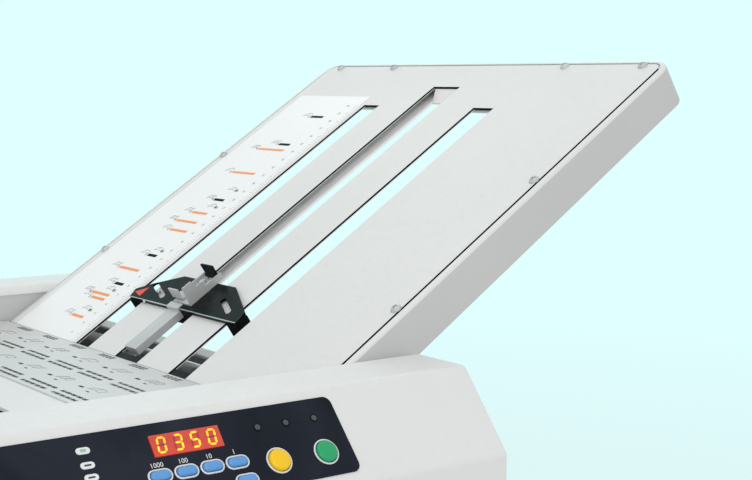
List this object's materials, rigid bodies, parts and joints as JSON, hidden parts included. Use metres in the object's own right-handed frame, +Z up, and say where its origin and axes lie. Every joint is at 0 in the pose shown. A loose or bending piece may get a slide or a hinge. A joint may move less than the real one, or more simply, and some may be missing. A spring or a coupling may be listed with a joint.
{
  "type": "paper folding machine",
  "caption": "Desktop paper folder with a sloping slotted fold plate, sliding paper stop, feed table, delivery tray and a sloped control panel.",
  "frame": {"origin": "centre of the bottom of the bounding box, in the plane of the rubber feet", "axes": "+X along the paper's way from the feed table to the delivery tray, operator and control panel at -Y, +Z up"},
  "size_m": [0.9836, 0.514, 0.5102],
  "materials": {
    "white_paint": "satin",
    "grey_paint": "satin",
    "dark_paint": "satin",
    "black_paint": "satin",
    "zinc_steel": "satin",
    "bright_steel": "polished",
    "black_plastic": "matte",
    "grey_plastic": "matte",
    "white_plastic": "gloss",
    "black_rubber": "matte",
    "brown_rubber": "matte",
    "panel_film": "matte",
    "red_window": "gloss",
    "green_lens": "gloss",
    "green_board": "matte",
    "white_film": "matte",
    "grey_film": "matte",
    "blue_plastic": "gloss",
    "yellow_plastic": "gloss",
    "green_plastic": "gloss"
  },
  "bodies": {
    "machine": {"base_pan": "grey_paint", "rubber_feet": "black_rubber", "frame_far": "zinc_steel", "frame_near": "zinc_steel", "tie_bars": "bright_steel", "housing_far": "white_paint", "housing_near": "white_paint", "end_panels": "white_paint", "control_overlay": "panel_film", "display_window": "red_window", "indicator_lenses": "green_lens", "button_bezels": "white_plastic", "control_board": "green_board", "power_supply": "zinc_steel", "power_inlet": "black_plastic", "upper_plate_sheet": "white_paint", "upper_plate_frame": "grey_paint", "upper_plate_back": "zinc_steel", "plate_screws": "bright_steel", "scale_label": "white_film", "slot_end_stops": "black_plastic", "lower_plate": "zinc_steel", "feed_table": "white_paint", "separator_pad": "brown_rubber", "delivery_guide": "zinc_steel", "delivery_tray": "white_paint", "motor": "dark_paint", "roller_bearings": "bright_steel", "drive_belts": "black_rubber", "cover_hinge_pins": "bright_steel"},
    "cover": {"top_cover": "white_paint", "fold_table_label": "grey_film"},
    "stop": {"stop_plate": "black_paint", "stop_carriage": "bright_steel", "stop_grip_tab": "grey_plastic", "stop_fingers": "black_plastic", "stop_tail_bar": "bright_steel"},
    "release": {"release_tab": "black_plastic"},
    "lower_stop": {"lower_stop": "black_plastic"},
    "rocker": {"power_switch": "black_plastic"},
    "extension": {"table_extension": "grey_paint"},
    "guide_far": {"side_guide_far": "zinc_steel"},
    "guide_near": {"side_guide_near": "zinc_steel"},
    "tray_stop": {"delivery_stop": "black_plastic"},
    "feed": {"feed_shaft": "bright_steel", "feed_wheels": "black_rubber"},
    "roller_1": {"fold_roller_1": "black_rubber"},
    "roller_2": {"fold_roller_2": "black_rubber"},
    "roller_3": {"fold_roller_3": "black_rubber"},
    "roller_4": {"fold_roller_4": "black_rubber"},
    "exit": {"exit_roller": "black_rubber"},
    "idler": {"exit_idler": "white_plastic"},
    "motor_shaft": {"motor_pulley": "black_plastic"},
    "key_1000": {"number_key_1000": "blue_plastic"},
    "key_100": {"number_key_100": "blue_plastic"},
    "key_10": {"number_key_10": "blue_plastic"},
    "key_1": {"number_key_1": "blue_plastic"},
    "key_clear": {"clear_key": "blue_plastic"},
    "yellow": {"yellow_button": "yellow_plastic"},
    "green": {"green_button": "green_plastic"}
  },
  "joints": [
    {"name": "cover_hinge", "type": "hinge", "parent": "machine", "child": "cover", "pos_m": [-0.038, 0, 0.319], "axis": [0, -1, 0], "range_deg": [0, 85]},
    {"name": "stop_slide", "type": "slide", "parent": "machine", "child": "stop", "axis": [0.8368, 0, 0.5476], "range_m": [-0.003, 0.21]},
    {"name": "release_squeeze", "type": "hinge", "parent": "stop", "child": "release", "pos_m": [0.13333, 0, 0.37295], "axis": [0, -1, 0], "range_deg": [0, 10], "stiffness_Nm_per_rad": 0.05},
    {"name": "lower_stop_slide", "type": "slide", "parent": "machine", "child": "lower_stop", "axis": [0.8192, 0, 0.5736], "range_m": [-0.08, 0.08]},
    {"name": "power_rocker", "type": "hinge", "parent": "machine", "child": "rocker", "pos_m": [0.1447, 0.222, 0.1], "axis": [0, 1, 0], "range_deg": [-8, 8]},
    {"name": "extension_slide", "type": "slide", "parent": "machine", "child": "extension", "axis": [-0.9903, 0, 0.1392], "range_m": [-0.06, 0.06]},
    {"name": "guide_far_slide", "type": "slide", "parent": "machine", "child": "guide_far", "axis": [0, 1, 0], "range_m": [-0.05, 0.034]},
    {"name": "guide_near_slide", "type": "slide", "parent": "machine", "child": "guide_near", "axis": [0, -1, 0], "range_m": [-0.05, 0.034]},
    {"name": "tray_stop_slide", "type": "slide", "parent": "machine", "child": "tray_stop", "axis": [0.9981, 0, -0.061], "range_m": [-0.16, 0.065]},
    {"name": "roller_2_spin", "type": "hinge", "parent": "machine", "child": "roller_2", "pos_m": [0.02386, 0, 0.2705], "axis": [0, 1, 0], "continuous": true},
    {"name": "roller_1_spin", "type": "hinge", "parent": "machine", "child": "roller_1", "pos_m": [0.01397, 0, 0.30093], "axis": [0, 1, 0], "continuous": true},
    {"name": "roller_3_spin", "type": "hinge", "parent": "machine", "child": "roller_3", "pos_m": [0.04222, 0, 0.24429], "axis": [0, 1, 0], "continuous": true},
    {"name": "roller_4_spin", "type": "hinge", "parent": "machine", "child": "roller_4", "pos_m": [0.03666, 0, 0.21277], "axis": [0, 1, 0], "continuous": true},
    {"name": "feed_spin", "type": "hinge", "parent": "machine", "child": "feed", "pos_m": [-0.06856, 0, 0.3066], "axis": [0, 1, 0], "continuous": true},
    {"name": "exit_spin", "type": "hinge", "parent": "machine", "child": "exit", "pos_m": [0.128, 0, 0.19991], "axis": [0, 1, 0], "continuous": true},
    {"name": "idler_spin", "type": "hinge", "parent": "machine", "child": "idler", "pos_m": [0.129, 0, 0.22451], "axis": [0, 1, 0], "continuous": true},
    {"name": "motor_spin", "type": "hinge", "parent": "machine", "child": "motor_shaft", "pos_m": [0.06, 0, 0.08], "axis": [0, 1, 0], "continuous": true},
    {"name": "key_1000_press", "type": "slide", "parent": "machine", "child": "key_1000", "axis": [0, 0.7682, -0.6402], "range_m": [0, 0.001], "stiffness_N_per_m": 400},
    {"name": "key_100_press", "type": "slide", "parent": "machine", "child": "key_100", "axis": [0, 0.7682, -0.6402], "range_m": [0, 0.001], "stiffness_N_per_m": 400},
    {"name": "key_10_press", "type": "slide", "parent": "machine", "child": "key_10", "axis": [0, 0.7682, -0.6402], "range_m": [0, 0.001], "stiffness_N_per_m": 400},
    {"name": "key_1_press", "type": "slide", "parent": "machine", "child": "key_1", "axis": [0, 0.7682, -0.6402], "range_m": [0, 0.001], "stiffness_N_per_m": 400},
    {"name": "key_clear_press", "type": "slide", "parent": "machine", "child": "key_clear", "axis": [0, 0.7682, -0.6402], "range_m": [0, 0.001], "stiffness_N_per_m": 400},
    {"name": "yellow_press", "type": "slide", "parent": "machine", "child": "yellow", "axis": [0, 0.7682, -0.6402], "range_m": [0, 0.001], "stiffness_N_per_m": 400},
    {"name": "green_press", "type": "slide", "parent": "machine", "child": "green", "axis": [0, 0.7682, -0.6402], "range_m": [0, 0.001], "stiffness_N_per_m": 400}
  ],
  "couplings": [
    {"joint": "roller_1_spin", "follows": "roller_2_spin", "ratio": -1},
    {"joint": "roller_3_spin", "follows": "roller_2_spin", "ratio": -1},
    {"joint": "roller_4_spin", "follows": "roller_2_spin", "ratio": 1},
    {"joint": "feed_spin", "follows": "roller_2_spin", "ratio": -0.8},
    {"joint": "exit_spin", "follows": "roller_2_spin", "ratio": 1.2},
    {"joint": "idler_spin", "follows": "roller_2_spin", "ratio": -1.4182},
    {"joint": "motor_spin", "follows": "roller_2_spin", "ratio": 1.6667}
  ]
}
